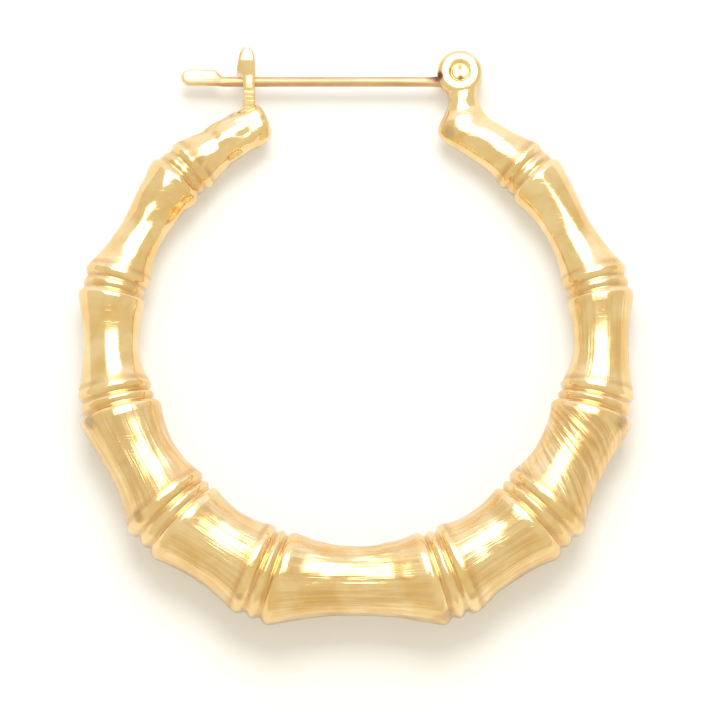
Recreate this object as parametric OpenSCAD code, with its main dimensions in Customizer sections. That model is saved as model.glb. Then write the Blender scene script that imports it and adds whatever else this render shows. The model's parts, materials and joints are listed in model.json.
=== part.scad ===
// Bamboo hoop earring with a hinged post, lying on its side. Millimetres, +Z up.
// Everything is drawn about the hoop's centre, with +X to the right, +Y towards the fastening
// and the hoop's plane level. lying() then leans it on its joints and moves it to its origin.

/* [Bamboo tube] */
// Thickness of the tube across the hoop's plane, as a share of its width in the plane
tube_depth = 0.94; // [0.86:0.01:1]
// Sides of the tube's cross-section
tube_sides = 28; // [12:2:30]
// How late each segment swells towards its joints: 1 is a straight cone
swell_power = 2.1; // [1.5:0.1:3]
// Angle from the bottom of the hoop to the shoulder of each end
end_angle = 156.6; // [156.2:0.1:157.2]
// Outer radius of the hoop at the shoulder of each end
end_outer = 20; // [19.85:0.05:20.1]
// Inner radius of the hoop at the shoulder of each end
end_inner = 16.9; // [16.7:0.05:17.05]
// Length of the rounding at each end
end_round = 0.7; // [0.4:0.05:0.8]
// Lean of the hoop's plane as it lies on its thick and its thin joints
lay_tilt = 2.8; // [0:0.1:4]

/* [Joints and waists] */
// Joints of one side from the bottom up: angle, outer and inner radius of the lower flare, the same of
// the upper flare, half the distance between the flares, depth of the two grooves, height of the ring
joints = [
    [ 20.8, 22.36, 14.97, 22.33, 15.06, 1.20, 0.42, 0.30],
    [ 46.4, 22.24, 15.14, 22.24, 15.11, 1.22, 0.40, 0.28],
    [ 76.2, 21.59, 15.26, 21.21, 15.61, 1.08, 0.36, 0.24],
    [103.5, 21.21, 16.10, 21.13, 16.06, 1.02, 0.30, 0.14],
    [135.4, 20.79, 16.16, 20.61, 16.29, 1.00, 0.27, 0.12]
];
// Waists of one side, the first at the bottom: angle, outer and inner radius of the hoop
waists = [
    [  0.0, 20.62, 15.30],
    [ 33.5, 21.57, 15.35],
    [ 61.5, 21.04, 15.53],
    [ 89.5, 20.51, 16.24],
    [119.0, 19.95, 16.47],
    [147.0, 20.08, 16.66]
];

/* [Hinge] */
// Place of the rivet, right of the hoop's centre
hinge_x = 7.8; // [7.7:0.05:7.9]
// Place of the rivet, above the hoop's centre
hinge_y = 20.75; // [20.7:0.05:20.8]
// Radius of the two round ears
lug_r = 1.68; // [1.6:0.02:1.76]
// Radius of the raised round rim of each ear
rim_r = 0.44; // [0.38:0.02:0.5]
// Height of the middle of that round rim over the ear's inner face
rim_lift = 0.22; // [0.16:0.02:0.3]
// Thickness of each ear in the dish under the rivet's head
dish_t = 0.36; // [0.3:0.02:0.42]
// Width of the slot between the ears, and of the slot in the catch
slot_w = 0.86; // [0.84:0.02:0.94]
// Thickness of the neck under the ears
neck_t = 1.84; // [1.6:0.02:2]
// Radius of the rivet's shaft
rivet_r = 0.3; // [0.26:0.01:0.34]
// Radius of the rivet's heads
head_r = 0.64; // [0.56:0.02:0.68]
// Height of the rivet's domed heads
head_h = 0.26; // [0.16:0.02:0.3]

/* [Post] */
// Distance of the post's axis below the rivet
post_drop = 0.58; // [0.55:0.01:0.62]
// Radius of the post
post_r = 0.37; // [0.34:0.01:0.4]
// Radius of the flat eye round the rivet
eye_r = 1.12; // [1.1:0.01:1.13]
// Thickness of the eye
eye_t = 0.72; // [0.6:0.02:0.78]
// Place of the post's tip, left of the hoop's centre
tip_x = 13.16; // [12.9:0.02:13.4]
// Radius of the swollen tip, before it is pressed flat
tip_r = 0.62; // [0.56:0.02:0.7]
// Thickness of the pressed tip
tip_t = 0.84; // [0.8:0.02:0.9]

/* [Catch] */
// Place of the catch, left of the hoop's centre
catch_x = 8.05; // [7.95:0.05:8.2]
// Width of the catch's strip
strip_w = 0.9; // [0.7:0.05:0.95]
// Thickness of the catch's strip
strip_t = 0.42; // [0.36:0.02:0.5]
// Length of each flared leaf, from the bend to its point
leaf_l = 2.05; // [1.9:0.05:2.3]
// Width of each leaf above its shoulder
leaf_w = 1.24; // [1.1:0.02:1.4]
// Angle at which each leaf flares away from the other
leaf_lean = 13; // [0:1:20]

/* [Hidden] */
gold = [0.91, 0.75, 0.42];
$fn = 64;

// Names of the columns of both tables
ANGLE = 0;
OUTER = 1;
INNER = 2;
OUTER_UP = 3;
INNER_UP = 4;
SPREAD = 5;
GROOVE = 6;
RING = 7;

// Place of the grooves between a joint's middle and its flares, and the places that get a cross-section
groove_at = 0.46;
joint_steps = [-1, -0.8, -0.6, -groove_at, -0.24, 0, 0.24, groove_at, 0.6, 0.8, 1];
swell_steps = [0.45, 0.75];
// Width of the flat middle of each end face, as a share of the tube's width there
end_flat = 0.62;

// Where the post's tip starts to narrow, and its whole length
tip_straight = 2.7 * tip_r;
tip_l = 3.9 * tip_r;
// How much wider than the wire its root is, before it is pressed to the eye's thickness
root_swell = 0.06;

// Air between pieces that turn against each other, and under the post where it rests
running_gap = 0.04;
seat_gap = 0.05;
// How far one soldered piece reaches into the next
sunk = 0.9;

slot_floor = hinge_y - eye_r - seat_gap;
lug_face = slot_w / 2;
post_y = hinge_y - post_drop;
catch_floor = post_y - post_r - seat_gap;
bend_y = post_y + post_r + 0.15;

// Outline of the neck from above: the corners of its inner side and foot, from the rivet's middle,
// and the hollow round of its outer side
neck_corners = [[-1.3, -0.7], [-0.74, -2.3], [-0.5, -3.4], [1.1, -4.3], [3.2, -4.7]];
neck_top = [1.38, -0.7];
neck_round_r = 2.55;
neck_round_x = hinge_x + 3.85;
neck_round_y = hinge_y - 1.4;

function between(a, b, share) = a + (b - a) * share;

function arc(x, y, r, from, to, steps) =
    [for (i = [0 : steps]) let (a = between(from, to, i / steps)) [x + r * cos(a), y + r * sin(a)]];

// Angle on the hoop that a length along the tube's middle takes
function arc_angle(length, outer, inner) = length / ((outer + inner) / 2) * 180 / PI;

// A cross-section is [angle, outer radius, inner radius]
function shrunk(section, depth) = [section[ANGLE], section[OUTER] - depth, section[INNER] + depth];

// How far the tube lies below its flares at a place between a joint's middle (0) and a flare (1)
function joint_depth(joint, place) =
    place >= groove_at
        ? joint[GROOVE] * pow((1 - place) / (1 - groove_at), 3)
        : joint[GROOVE] - joint[RING] * (1 + cos(180 * place / groove_at)) / 2;

// A joint's cross-section, at a place from its lower flare (-1) to its upper flare (1)
function joint_section(joint, place) =
    let (
        share = (place + 1) / 2,
        outer = between(joint[OUTER], joint[OUTER_UP], share),
        inner = between(joint[INNER], joint[INNER_UP], share),
        angle = joint[ANGLE] + place * arc_angle(joint[SPREAD], outer, inner)
    )
    shrunk([angle, outer, inner], joint_depth(joint, abs(place)));

// A cross-section between a waist (0) and a flare (1)
function swell_section(waist, flare, share) =
    let (rise = pow(share, swell_power))
    [
        between(waist[ANGLE], flare[ANGLE], share),
        between(waist[OUTER], flare[OUTER], rise),
        between(waist[INNER], flare[INNER], rise)
    ];

function backwards(list) = [for (i = [len(list) - 1 : -1 : 0]) list[i]];

// From a waist up to the next joint, over it, and down towards the waist after it
function segment_sections(i) = concat(
    [for (s = concat([0], swell_steps)) swell_section(waists[i], joint_section(joints[i], -1), s)],
    [for (place = joint_steps) joint_section(joints[i], place)],
    [for (s = backwards(swell_steps)) swell_section(waists[i + 1], joint_section(joints[i], 1), s)]
);

end_half = (end_outer - end_inner) / 2;
end_shoulder = [end_angle, end_outer, end_inner];
end_sections = concat(
    [waists[len(joints)], swell_section(waists[len(joints)], end_shoulder, 0.5)],
    [for (a = [0 : 30 : 90])
        let (turn = arc_angle(end_round * sin(a), end_outer, end_inner))
        shrunk(
            [end_angle + turn, end_outer, end_inner],
            end_half * (1 - end_flat) * (1 - cos(a))
        )
    ]
);

side_sections = concat([for (i = [0 : len(joints) - 1]) each segment_sections(i)], end_sections);
other_side = [for (i = [len(side_sections) - 1 : -1 : 1]) [
    -side_sections[i][ANGLE], side_sections[i][OUTER], side_sections[i][INNER]
]];
sections = concat(other_side, side_sections);

function section_points(section) =
    let (middle = (section[OUTER] + section[INNER]) / 2, half = (section[OUTER] - section[INNER]) / 2)
    [for (k = [0 : tube_sides - 1])
        let (turn = 360 * k / tube_sides, r = middle + half * cos(turn))
        [r * sin(section[ANGLE]), -r * cos(section[ANGLE]), half * tube_depth * sin(turn)]
    ];

tube_points = [for (section = sections) each section_points(section)];

function tube_faces() = concat(
    [[for (k = [tube_sides - 1 : -1 : 0]) k]],
    [for (i = [0 : len(sections) - 2], k = [0 : tube_sides - 1], half = [0, 1])
        let (
            a = i * tube_sides + k,
            b = i * tube_sides + (k + 1) % tube_sides,
            c = b + tube_sides,
            d = a + tube_sides
        )
        half == 0 ? [a, b, c] : [a, c, d]
    ],
    [[for (k = [0 : tube_sides - 1]) (len(sections) - 1) * tube_sides + k]]
);

// Height and reach of a point once the hoop leans on its joints
function leaning_z(p) = p.z * cos(lay_tilt) - p.y * sin(lay_tilt);
function leaning_y(p) = p.y * cos(lay_tilt) + p.z * sin(lay_tilt);

catch_top = bend_y + leaf_l * cos(leaf_lean);
catch_top_z = lug_face + leaf_l * sin(leaf_lean) + strip_t / 2;
lowest_z = min([for (p = tube_points) leaning_z(p)]);
nearest_y = min([for (p = tube_points) leaning_y(p)]);
farthest_y = leaning_y([0, catch_top, catch_top_z]);
middle_y = (nearest_y + farthest_y) / 2;

module lying() {
    translate([0, -middle_y, -lowest_z])
        rotate([-lay_tilt, 0, 0])
            children();
}

module bamboo_tube() {
    polyhedron(points = tube_points, faces = tube_faces(), convexity = 6);
}

// One ear, from its inner face up: a raised round rim about a shallow dish
module lug() {
    dish_side = asin((dish_t - rim_lift) / rim_r);
    profile = concat(
        [[0, 0], [lug_r, 0]],
        arc(lug_r - rim_r, rim_lift, rim_r, 0, 180 - dish_side, 10),
        [[0, dish_t]]
    );
    rotate_extrude()
        polygon(profile);
}

// The neck that carries the ears on the tube's end, round at its outer side
module neck() {
    outline = concat(
        [for (corner = neck_corners) [hinge_x, hinge_y] + corner],
        arc(neck_round_x, neck_round_y, neck_round_r, 236, 180, 10),
        [[hinge_x, hinge_y] + neck_top]
    );
    linear_extrude(neck_t, center = true)
        polygon(outline);
}

module hinge_ears() {
    difference() {
        union() {
            neck();
            for (side = [0, 1])
                translate([hinge_x, hinge_y, 0])
                    mirror([0, 0, side])
                        translate([0, 0, lug_face])
                            lug();
        }
        translate([hinge_x - 2 * lug_r, slot_floor, -lug_face])
            cube([4 * lug_r, 2 * lug_r + eye_r, slot_w]);
        translate([hinge_x, hinge_y, 0])
            cylinder(h = 4 * lug_r, r = rivet_r + running_gap / 2, center = true);
    }
}

// A rounded leaf, drawn from the bend: it bulges to its left over the strip, then narrows to its end
module leaf() {
    middle_x = (strip_w - leaf_w) / 2;
    blade_foot = leaf_l * 0.4;
    bulge_x = middle_x - leaf_w / 2 - 0.1;
    outline = concat(
        [[-strip_w / 2, -0.1], [strip_w / 2, -0.1]],
        [for (a = [0 : 15 : 180]) [
            middle_x + leaf_w / 2 * cos(a),
            blade_foot + (leaf_l - blade_foot) * sin(a)
        ]],
        [[bulge_x, blade_foot * 0.6], [bulge_x, blade_foot * 0.3]]
    );
    linear_extrude(strip_t)
        polygon(outline);
}

module catch_fork() {
    fork_t = slot_w + 2 * strip_t;
    foot_y = end_outer * cos(180 - end_angle) - sunk;
    translate([-catch_x, 0, 0]) {
        difference() {
            translate([-strip_w / 2, foot_y, -fork_t / 2])
                cube([strip_w, bend_y - foot_y, fork_t]);
            translate([-strip_w, catch_floor, -lug_face])
                cube([2 * strip_w, bend_y, slot_w]);
        }
        for (side = [0, 1])
            mirror([0, 0, side])
                translate([0, bend_y, lug_face])
                    rotate([leaf_lean, 0, 0])
                        leaf();
    }
}

module hoop() {
    color(gold)
        lying()
            union() {
                bamboo_tube();
                hinge_ears();
                catch_fork();
            }
}

// The swollen tip along +Z: a round nose, a straight stretch and a cone down to the wire
module tip_blank() {
    profile = concat(
        [[0, 0]],
        arc(0, tip_r, tip_r, -80, 0, 8),
        [[tip_r, tip_straight], [post_r * 0.8, tip_l], [0, tip_l]]
    );
    rotate_extrude()
        polygon(profile);
}

// The thicker root of the post, pressed flat where it runs into the eye
module post_root(from) {
    root_l = hinge_x - from;
    intersection() {
        translate([from, post_y, 0])
            rotate([0, 90, 0])
                cylinder(h = root_l, r = post_r + root_swell);
        translate([from, post_y - post_r, -eye_t / 2])
            cube([root_l, 2 * post_r, eye_t]);
    }
}

module post_tip() {
    tip_y = catch_floor + tip_r;
    intersection() {
        translate([-tip_x, tip_y, 0])
            rotate([0, 90, 0])
                tip_blank();
        translate([-tip_x, tip_y - tip_r, -tip_t / 2])
            cube([tip_l, 2 * tip_r, tip_t]);
    }
}

module ear_post() {
    wire_from = tip_r - tip_x;
    root_from = hinge_x - lug_r - 0.2;
    color(gold)
        lying()
            difference() {
                union() {
                    translate([wire_from, post_y, 0])
                        rotate([0, 90, 0])
                            cylinder(h = hinge_x - lug_r - wire_from, r = post_r);
                    post_tip();
                    post_root(root_from);
                    translate([hinge_x, hinge_y, 0])
                        cylinder(h = eye_t, r = eye_r, center = true);
                }
                translate([hinge_x, hinge_y, 0])
                    cylinder(h = 2 * eye_t, r = rivet_r + running_gap, center = true);
            }
}

// Half of the rivet, from its middle up: the shaft, and a domed head that sits in the ear's dish
module half_rivet() {
    head_z = lug_face + dish_t + running_gap / 2;
    dome_r = (head_r * head_r + head_h * head_h) / (2 * head_h);
    rim_angle = asin((dome_r - head_h) / dome_r);
    profile = concat(
        [[0, -0.01], [rivet_r, -0.01], [rivet_r, head_z]],
        arc(0, head_z + head_h - dome_r, dome_r, rim_angle, 90, 8)
    );
    rotate_extrude()
        polygon(profile);
}

module hinge_rivet() {
    color(gold)
        lying()
            translate([hinge_x, hinge_y, 0])
                for (side = [0, 1])
                    mirror([0, 0, side])
                        half_rivet();
}

hoop();
ear_post();
hinge_rivet();
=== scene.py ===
"""Bamboo hoop earring lying on a white table: its looks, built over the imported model.

Pieces are drawn in millimetres about the hoop's centre, with the hoop's plane level, and are then
laid down in the model's own frame, in metres. Angles along the tube are degrees from the bottom,
below zero on the left side.
"""

import json
import logging
import math
from collections.abc import Callable, Iterable
from dataclasses import dataclass
from enum import Enum

import bmesh
import bpy
from mathutils import Matrix, Vector, noise


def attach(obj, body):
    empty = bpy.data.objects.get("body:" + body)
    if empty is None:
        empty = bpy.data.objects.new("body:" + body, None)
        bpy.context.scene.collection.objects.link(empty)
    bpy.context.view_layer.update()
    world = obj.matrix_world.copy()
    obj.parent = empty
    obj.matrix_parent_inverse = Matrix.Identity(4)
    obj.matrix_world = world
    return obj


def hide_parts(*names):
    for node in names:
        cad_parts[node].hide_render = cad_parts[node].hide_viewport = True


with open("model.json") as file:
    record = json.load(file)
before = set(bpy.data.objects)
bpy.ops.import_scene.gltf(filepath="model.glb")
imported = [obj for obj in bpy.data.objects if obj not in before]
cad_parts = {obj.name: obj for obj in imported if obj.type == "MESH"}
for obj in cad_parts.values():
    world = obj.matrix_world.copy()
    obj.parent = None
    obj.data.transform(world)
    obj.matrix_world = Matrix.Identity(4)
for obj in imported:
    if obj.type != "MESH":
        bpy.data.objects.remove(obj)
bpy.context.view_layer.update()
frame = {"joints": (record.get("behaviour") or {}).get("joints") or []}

LOG = logging.getLogger("bamboo_earring")
MM = 0.001
# Edges stay sharp from this angle in degrees on. The neck and the catch have slots of one width.
SHARP_ANGLE = 50.0
SLOT_WIDTH = 0.86

Mesh = bmesh.types.BMesh
Face = bmesh.types.BMFace
Layer = bmesh.types.BMLayerItem
Material = bpy.types.Material
Object = bpy.types.Object
Socket = bpy.types.NodeSocket
Tree = bpy.types.NodeTree
Point = tuple[float, float]
Place = tuple[float, float, float]
Colour = tuple[float, float, float]


class Body(Enum):
    """The two bodies that the pieces ride on."""

    HOOP = "hoop"
    POST = "post"


class Slot(Enum):
    """The record's material slots."""

    TUBE = "polished_gold"
    POST = "post_gold"
    RIVET = "rivet_gold"


class Side(Enum):
    """The hoop's two sides, seen from above with the post at the top."""

    LEFT = -1
    RIGHT = 1


# ---- Laying down and finishing meshes ----


@dataclass(frozen=True)
class Lying:
    """How the hoop lies: from drawn millimetres about its centre to the model's frame."""

    place: Matrix

    @classmethod
    def from_hinge(cls, hinge: dict, drawn: Point) -> "Lying":
        """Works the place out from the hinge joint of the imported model.

        Args:
            hinge: The joint's entry in the frame.
            drawn: Where the rivet is drawn.

        Returns:
            The lying hoop's place.
        """
        lean = math.atan2(-hinge["axis"][1], -hinge["axis"][2])
        turn = Matrix.Rotation(-lean, 4, "X") @ Matrix.Scale(MM, 4)
        shift = Vector(hinge["pos_m"]) - turn @ Vector((*drawn, 0.0))
        return cls(Matrix.Translation(shift) @ turn)

    def centre(self) -> Vector:
        """The hoop's centre in the model's frame."""
        return self.place.to_translation()


def smooth_step(low: float, high: float, value: float) -> float:
    """A smooth rise from 0 at low to 1 at high, which may be the lower of the two."""
    share = min(1.0, max(0.0, (value - low) / (high - low)))
    return share * share * (3.0 - 2.0 * share)


def weld(bm: Mesh, reach: float = 1e-5) -> None:
    """Merges the vertices that lie together."""
    bmesh.ops.remove_doubles(bm, verts=bm.verts[:], dist=reach)


def mirror(bm: Mesh, reach: float = -1.0) -> None:
    """Adds the mirror image in the hoop's plane, merged where it lies within reach."""
    geom = [*bm.verts, *bm.edges, *bm.faces]
    bmesh.ops.mirror(bm, geom=geom, axis="Z", merge_dist=reach)


def move(bm: Mesh, by: Place) -> None:
    """Moves a whole mesh."""
    bmesh.ops.translate(bm, verts=bm.verts[:], vec=by)


def face_outwards(bm: Mesh) -> None:
    """Turns a closed mesh's faces outwards.

    Args:
        bm: The mesh.
    """
    bmesh.ops.recalc_face_normals(bm, faces=bm.faces[:])
    if bm.calc_volume(signed=True) < 0:
        bmesh.ops.reverse_faces(bm, faces=bm.faces[:])


def spin_profile(bm: Mesh, profile: Iterable[Point], steps: int) -> None:
    """Turns a profile a full circle about the Z axis.

    Args:
        bm: The mesh that gets the turned shape.
        profile: Points as (radius, height).
        steps: Faces round the circle.
    """
    verts = [bm.verts.new((radius, 0.0, height)) for radius, height in profile]
    edges = [bm.edges.new(pair) for pair in zip(verts, verts[1:])]
    circle = {"cent": (0, 0, 0), "axis": (0, 0, 1), "angle": math.tau, "steps": steps}
    bmesh.ops.spin(bm, geom=verts + edges, **circle, use_merge=True, use_duplicate=False)
    weld(bm)
    face_outwards(bm)


def arc_points(centre: Point, radius: float, start: float, end: float, steps: int) -> list[Point]:
    """Points along an arc between two angles in degrees, ends included."""
    angles = [math.radians(start + (end - start) * i / steps) for i in range(steps + 1)]
    return [(centre[0] + radius * math.cos(a), centre[1] + radius * math.sin(a)) for a in angles]


def glide(ribs: list[Vector], place: float) -> Vector:
    """A smooth curve through a row of vectors, of which the first and the last only steer it.

    Args:
        ribs: The row.
        place: 0 at the second vector, 1 at the third, and so on.

    Returns:
        The vector at that place.
    """
    i = min(len(ribs) - 4, max(0, int(place)))
    t = place - i
    a, b, c, d = ribs[i : i + 4]
    bend, twist = 2 * a - 5 * b + 4 * c - d, 3 * b - a - 3 * c + d
    return 0.5 * (2 * b + (c - a) * t + bend * t**2 + twist * t**3)


def extrude_face(bm: Mesh, face: Face) -> Face:
    """Extrudes one face.

    Args:
        bm: The mesh.
        face: The face, which the new one replaces.

    Returns:
        The new face, still where the old one was.
    """
    region = [face, *face.edges, *face.verts]
    made = bmesh.ops.extrude_face_region(bm, geom=region, use_keep_orig=False)["geom"]
    return next(g for g in made if isinstance(g, Face))


def cap_end(bm: Mesh, side: Side) -> Face:
    """Closes the open end on one side and gives the face that closes it."""
    edges = [e for e in bm.edges if e.is_boundary and e.verts[0].co.x * side.value > 0]
    return bmesh.ops.edgeloop_fill(bm, edges=edges)["faces"][0]


@dataclass(frozen=True)
class DarkSpot:
    """A small painted dark spot, by its middle and its reach."""

    middle: Place
    reach: float
    strength: float = 1.0
    full_share: float = 0.35

    def at(self, place: Vector) -> float:
        """How dark the spot is painted at a place."""
        far = (place - Vector(self.middle)).length / self.reach
        return self.strength * (1 - smooth_step(self.full_share, 1.0, far))


def mark_dark_spots(bm: Mesh, dark_spots: tuple[DarkSpot, ...]) -> None:
    """Marks the vertices that the painted dark spots reach.

    Args:
        bm: The mesh, drawn in the spots' own place.
        dark_spots: The spots.
    """
    # How dark each vertex is painted: painted shade at the hinge and the post's root, darker spots
    # on the tube.
    layer = bm.verts.layers.float.new("dark_spot")
    for vert in bm.verts:
        vert[layer] = max(0.0, *(dark_spot.at(vert.co) for dark_spot in dark_spots))


def bevel_edges(
    bm: Mesh,
    width: float,
    segments: int,
    chosen: Callable[[bmesh.types.BMEdge], bool],
    sharp: float = 30.0,
) -> None:
    """Rounds the sharp edges that a test picks.

    Args:
        bm: The mesh.
        width: Width of the rounding.
        segments: Faces across it.
        chosen: Says whether an edge is rounded.
        sharp: Smallest angle in degrees between an edge's faces.
    """
    closed = [e for e in bm.edges if len(e.link_faces) == 2]
    edges = [e for e in closed if math.degrees(e.calc_face_angle(0.0)) > sharp and chosen(e)]
    how = {"offset_type": "OFFSET", "profile": 0.5, "affect": "EDGES", "material": -1}
    bmesh.ops.bevel(bm, geom=edges, offset=width, segments=segments, clamp_overlap=True, **how)


def hand_over(bm: Mesh, name: str) -> bpy.types.Mesh:
    """Turns a worked mesh into mesh data and frees it.

    Args:
        bm: The worked mesh.
        name: The data's name.

    Returns:
        The mesh data.
    """
    mesh = bpy.data.meshes.new(name)
    bm.to_mesh(mesh)
    bm.free()
    return mesh


def absorb(bm: Mesh, part: Mesh) -> None:
    """Adds a worked part to a mesh and frees the part.

    Args:
        bm: The mesh.
        part: What it takes in.
    """
    mesh = hand_over(part, "part")
    bm.from_mesh(mesh)
    bpy.data.meshes.remove(mesh)


def put_in_scene(name: str, data: bpy.types.ID) -> Object:
    """Makes an object and links it to the scene.

    Args:
        name: Its name.
        data: Its mesh, light or camera.

    Returns:
        The object.
    """
    thing = bpy.data.objects.new(name, data)
    bpy.context.scene.collection.objects.link(thing)
    return thing


def finish_piece(
    bm: Mesh, name: str, body: Body, material: Material, lying: Lying
) -> Object:
    """Lays a drawn mesh down, makes it an object and hangs it on its body.

    Args:
        bm: The drawn mesh.
        name: The piece's name.
        body: What it moves with.
        material: Its finish.
        lying: Where the hoop lies.

    Returns:
        The finished object, with its place in its mesh.
    """
    bmesh.ops.transform(bm, matrix=lying.place, verts=bm.verts[:])
    for face in bm.faces:
        face.smooth = True
    mesh = hand_over(bm, name)
    mesh.materials.append(material)
    piece = put_in_scene(name, mesh)
    mesh.set_sharp_from_angle(angle=math.radians(SHARP_ANGLE))
    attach(piece, body.value)
    LOG.info("%s: %d faces, rides on %s", name, len(mesh.polygons), body.value)
    return piece


# ---- Shared effects ----


class NodeSheet:
    """A small helper that lays out shader nodes and joins them."""

    def __init__(self, tree: Tree) -> None:
        """Keeps the tree that gets the nodes."""
        self.tree = tree

    def add(self, kind: str, inputs: dict | None = None, **settings: object) -> bpy.types.Node:
        """Adds a node.

        Args:
            kind: The node's type.
            inputs: By name or number, a socket to join or a value. A colour is three numbers.
            **settings: The node's properties.

        Returns:
            The new node.
        """
        node = self.tree.nodes.new(kind)
        for key, value in settings.items():
            setattr(node, key, value)
        for key, value in (inputs or {}).items():
            socket = node.inputs[key]
            if isinstance(value, Socket):
                self.tree.links.new(value, socket)
            else:
                socket.default_value = (*value, 1.0) if socket.type == "RGBA" else value
        return node

    def math(self, operation: str, *values: object) -> Socket:
        """Works out a number from sockets or numbers."""
        node = self.add("ShaderNodeMath", dict(enumerate(values)), operation=operation)
        return node.outputs[0]

    def blend(self, share: object, low: object, high: object) -> Socket:
        """Blends two colours, by the share that the second one gets."""
        inputs = {0: share, 6: low, 7: high}
        return self.add("ShaderNodeMix", inputs, data_type="RGBA").outputs[2]

    def noise(self, place: Socket, scale: object, detail: float, **others: float) -> Socket:
        """Adds a noise texture and gives its strength."""
        inputs = {"Vector": place, "Scale": scale, "Detail": detail, **others}
        return self.add("ShaderNodeTexNoise", inputs).outputs["Fac"]

    def ramp(self, value: Socket, low: float, high: float, kind: str = "LINEAR") -> Socket:
        """A rise from 0 at low to 1 at high."""
        inputs = {0: value, 1: low, 2: high}
        return self.add("ShaderNodeMapRange", inputs, interpolation_type=kind).outputs[0]

    def group(self, tree: Tree, inputs: dict) -> bpy.types.NodeOutputs:
        """Adds a shared effect and gives what it puts out."""
        return self.add("ShaderNodeGroup", inputs, node_tree=tree).outputs

    def principled(self, inputs: dict) -> None:
        """Ends a material with a Principled shader."""
        shader = self.add("ShaderNodeBsdfPrincipled", inputs)
        self.add("ShaderNodeOutputMaterial", {"Surface": shader.outputs[0]})

    def painted(self, layer: str) -> Socket:
        """How strongly a layer is painted on the piece."""
        return self.add("ShaderNodeAttribute", attribute_name=layer).outputs["Fac"]

    def put_out(self, results: dict[str, Socket]) -> Tree:
        """Joins a group's results to its output and gives the group."""
        self.add("NodeGroupOutput", results)
        return self.tree


def empty_sheet(data: Material | bpy.types.World) -> NodeSheet:
    """Clears the nodes of a material or a world.

    Args:
        data: The material or the world.

    Returns:
        Its sheet.
    """
    data.use_nodes = True
    data.node_tree.nodes.clear()
    return NodeSheet(data.node_tree)


def new_group(
    name: str, inputs: dict[str, float | None], outputs: tuple[str, ...]
) -> tuple[NodeSheet, bpy.types.NodeOutputs]:
    """Starts a shader node group with named sockets.

    Args:
        name: The group's name.
        inputs: Each input's default number, or None for a vector.
        outputs: The names of the numbers that it puts out.

    Returns:
        The group's sheet and what it is given.
    """
    tree = bpy.data.node_groups.new(name, "ShaderNodeTree")
    for label, value in inputs.items():
        kind = "NodeSocketVector" if value is None else "NodeSocketFloat"
        socket = tree.interface.new_socket(label, in_out="INPUT", socket_type=kind)
        if value is not None:
            socket.default_value = value
    for label in outputs:
        tree.interface.new_socket(label, in_out="OUTPUT", socket_type="NodeSocketFloat")
    sheet = NodeSheet(tree)
    return sheet, sheet.add("NodeGroupInput").outputs


class GoldEffects:
    """The effects that every gold finish uses, each built once as a node group."""

    def __init__(self) -> None:
        """Builds the groups."""
        self.grain = self._engraved_grain()
        self.tarnish_and_dark_reflection = self._groove_tarnish()
        self.marks = self._handling_marks()

    def _engraved_grain(self) -> Tree:
        """Fine lines that run along the piece.

        Returns:
            A group that puts out the lines' height and how much of a line each point is.
        """
        inputs = {"Vector": None, "Line Spacing": 0.45, "Line Length": 6.0}
        sheet, given = new_group("engraved_grain", inputs, ("Height", "Lines"))
        parts = sheet.add("ShaderNodeSeparateXYZ", {0: given["Vector"]}).outputs
        heights = []
        for spacing_share, detail, strength in ((1.0, 1.0, 0.65), (0.42, 2.0, 0.35)):
            spacing = sheet.math("MULTIPLY", given["Line Spacing"], spacing_share)
            across = sheet.math("DIVIDE", parts[0], spacing)
            along = sheet.math("DIVIDE", parts[1], given["Line Length"])
            place = sheet.add("ShaderNodeCombineXYZ", {0: across, 1: along, 2: 3.7 * spacing_share})
            lines = sheet.noise(place.outputs[0], 1.0, detail)
            heights.append(sheet.math("MULTIPLY", lines, strength))
        height = sheet.math("ADD", *heights)
        return sheet.put_out({"Height": height, "Lines": sheet.ramp(height, 0.42, 0.58)})

    def _groove_tarnish(self) -> Tree:
        """Darker metal where polishing doesn't reach; on the tube its depth also carries the
        painted dark reflection above each joint.

        Returns:
            A group that puts out how darkened each point is.
        """
        inputs = {"Vector": None, "Depth": 0.0, "Patch Scale": 700.0}
        sheet, given = new_group("groove_tarnish", inputs, ("Tarnish",))
        patches = sheet.noise(given["Vector"], given["Patch Scale"], 3.0, Roughness=0.6)
        ragged = sheet.math("MULTIPLY_ADD", patches, 0.7, -0.35)
        depth = sheet.math("ADD", given["Depth"], ragged)
        return sheet.put_out({"Tarnish": sheet.ramp(depth, 0.35, 1.05, "SMOOTHSTEP")})

    def _handling_marks(self) -> Tree:
        """Soft unevenness and hairline scratches from polishing and wear.

        Returns:
            A group that puts out soft cloudiness, hairline scratches and their height.
        """
        inputs = {"Vector": None, "Scale": 450.0}
        sheet, given = new_group("handling_marks", inputs, ("Cloud", "Scratches", "Height"))
        way, scale = given["Vector"], given["Scale"]
        cloud = sheet.noise(way, scale, 2.0, Roughness=0.55, Distortion=0.3)
        drawn_out = {"Vector": way, "Rotation": (0.3, 0.2, 0.6), "Scale": (0.35, 4.5, 1.0)}
        place = sheet.add("ShaderNodeMapping", drawn_out).outputs[0]
        fine = sheet.noise(place, sheet.math("MULTIPLY", scale, 3.0), 3.0, Roughness=0.7)
        scratches = sheet.ramp(fine, 0.6, 0.72)
        height = sheet.math("MULTIPLY_ADD", scratches, -0.08, cloud)
        return sheet.put_out({"Cloud": cloud, "Scratches": scratches, "Height": height})


# ---- Finishes ----


class Grain(Enum):
    """How a finish finds the direction of its fine lines."""

    FROM_MAP = "map"
    ALONG_WIRE = "wire"


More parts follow.
